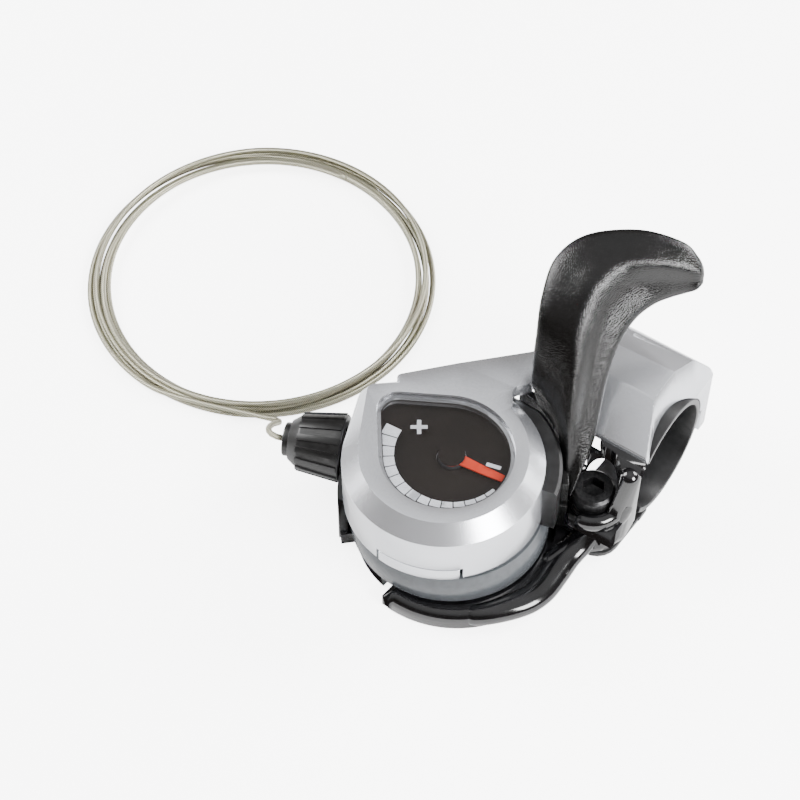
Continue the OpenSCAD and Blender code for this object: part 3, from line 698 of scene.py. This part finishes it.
def window_outline(grow):
    """Outline of the window: the convex wrap of its large circle and its corner circle,
    both larger by grow, as the farther of the two in each direction."""
    a = np.arange(120) / 120 * TAU
    d = np.stack([np.cos(a), np.sin(a)], -1)
    round_r, corner_r = WINDOW_ROUND_R + grow, WINDOW_CORNER_R + grow
    round_is_out = (d @ WINDOW_ROUND + round_r) >= (d @ WINDOW_CORNER + corner_r)
    return np.where(round_is_out[:, None], WINDOW_ROUND + round_r * d, WINDOW_CORNER + corner_r * d)


def window_border():
    """Dark line just under the window, round the inside of its edge."""
    top = INK_LEVEL + INK_THICK
    rows = [on_dial(window_outline(grow), level) for grow, level in
            ((0.0, INK_LEVEL), (-BORDER_WIDTH, INK_LEVEL), (-BORDER_WIDTH, top), (0.0, top))]
    grid_piece("window_border", np.stack(rows), CARD, "base", smooth=False, close_v=True)


def needle():
    """Flat red wedge from the hub toward the scale's thin end, and its round hub."""
    a = np.arange(48) / 48 * TAU
    hub = NEEDLE_HUB_R * np.stack([np.cos(a), np.sin(a)], -1)
    for name, flat in (("needle_blade", NEEDLE_BLADE), ("needle_hub", hub)):
        low = on_dial(flat, NEEDLE_LEVEL)
        piece = grid_piece(name, np.stack([low, low + (0, 0, NEEDLE_THICK)]), NEEDLE,
                           "shift_lever", smooth=False)
    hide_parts("pointer")


plus_sign()
printed_bar("minus_sign", MINUS_CENTRE, MINUS_ALONG, MINUS_LONG)
window_border()
needle()


# Base arm, boss and walls

# Stations of the arm from its free end to the bolt: X, Y, Z, half width and half height
ARM = [(-10.2, -46.4, -10.2, 2.0, 2.0), (-6.7, -43.65, -10.1, 2.4, 2.2), (-3.7, -40, -10, 2.8, 2.3),
       (-1.7, -36.7, -10, 3.0, 2.3), (-0.8, -33.2, -10, 3.1, 2.2), (-0.7, -28.7, -9.9, 3.1, 2.2),
       (-0.6, -24.6, -9.6, 3.0, 2.1), (0.3, -21.2, -8.7, 2.8, 2.1), (1.7, -18.6, -6.8, 2.5, 2.1),
       (3.4, -16.9, -4.6, 2.3, 2.1), (4.7, -15.6, -2.4, 2.1, 2.0), (5.3, -14.8, 0, 1.9, 1.9),
       (4.7, -14.6, 2.2, 1.5, 1.4)]
BOLT_X, BOLT_Y = -0.9, -15.7
BOSS_R = 5.4
BOSS_LEVEL = -1.5
# Stations of the boss, an arc round the clamp bolt whose first end is thinner
BOSS = [(BOLT_X + BOSS_R * math.cos(a), BOLT_Y + BOSS_R * math.sin(a), BOSS_LEVEL, 1.6, 1.8)
        for a in np.radians(np.arange(-92, 33, 12))]
BOSS_END = (1.3, 1.5)
BAR_STATIONS = 90
BAR_SIDES = 28
# Each end's dome takes one part in this many of the bar's length, down to a small flat tip
DOME_PARTS = 22
DOME_TIP = 0.05
SKIRT_AZIMUTHS = (13, 86)
SKIRT_INNER_R, SKIRT_OUTER_R = 17.4, 20.7
SKIRT_LOW, SKIRT_HIGH = -0.7, 10.9
SKIRT_BAR_CLEAR = 11.25


def enamelled_bar(name, stations):
    """Rounded bar along a smooth curve: an ellipse at each station, with its half width and
    half height eased along the curve, and a round dome at each end."""
    stations = np.array(stations)
    u = np.linspace(0, len(stations) - 1, BAR_STATIONS)
    path = smooth_curve(stations[:, :3], u)
    along = unit(np.gradient(path, axis=0))
    side = unit(np.cross(along, [0, 0, 1.0]))
    reach, rise = (np.interp(u, np.arange(len(stations)), stations[:, k]) for k in (3, 4))
    t = np.linspace(0, 1, BAR_STATIONS)
    into_dome = np.clip(1 - np.minimum(t, 1 - t) * DOME_PARTS, 0, 1)
    dome = np.sqrt(np.clip(1 - into_dome ** 2, DOME_TIP ** 2, 1))
    skin = tube_skin(path, side, np.cross(side, along), BAR_SIDES, reach * dome, rise * dome)
    grid_piece(name, skin, ENAMEL, "base")


def inner_skirt():
    """Black wall of the base between cover and lever: a ring section that stays inside the
    lever's radius and clear of the handlebar, with a chamfer along its upper edge."""
    azimuth = np.radians(np.linspace(*SKIRT_AZIMUTHS, 60))
    outer = np.minimum(SKIRT_OUTER_R, (BAR_Y - SKIRT_BAR_CLEAR) / np.sin(azimuth))
    chamfer_in, chamfer_down = 0.6, 0.5
    rows = [(SKIRT_INNER_R, SKIRT_HIGH), (outer - chamfer_in, SKIRT_HIGH),
            (outer, SKIRT_HIGH - chamfer_down), (outer, SKIRT_LOW), (SKIRT_INNER_R, SKIRT_LOW)]
    skin = np.stack([round_drum(radius, azimuth, height) for radius, height in rows], 1)
    grid_piece("inner_skirt", skin, BAND, "base", smooth=False)


enamelled_bar("base_arm", ARM)
enamelled_bar("bolt_boss", [(*BOSS[0][:3], *BOSS_END)] + BOSS[1:])
turned_wall("base_web", (20.4, 25.4), (-9.8, -8.4), (4, 47), ENAMEL, "base")
inner_skirt()


# Floor

def paper_floor():
    """Flat square of white paper, 3 m wide and 0.1 mm under the part."""
    half = 1.5
    level = (FLOOR - 0.1) * MM
    mesh = bpy.data.meshes.new("paper_floor")
    mesh.from_pydata([(-half, -half, level), (half, -half, level), (half, half, level),
                      (-half, half, level)], [], [(0, 1, 2, 3)])
    mesh.materials.append(PAPER)
    floor = bpy.data.objects.new("paper_floor", mesh)
    bpy.context.collection.objects.link(floor)


paper_floor()
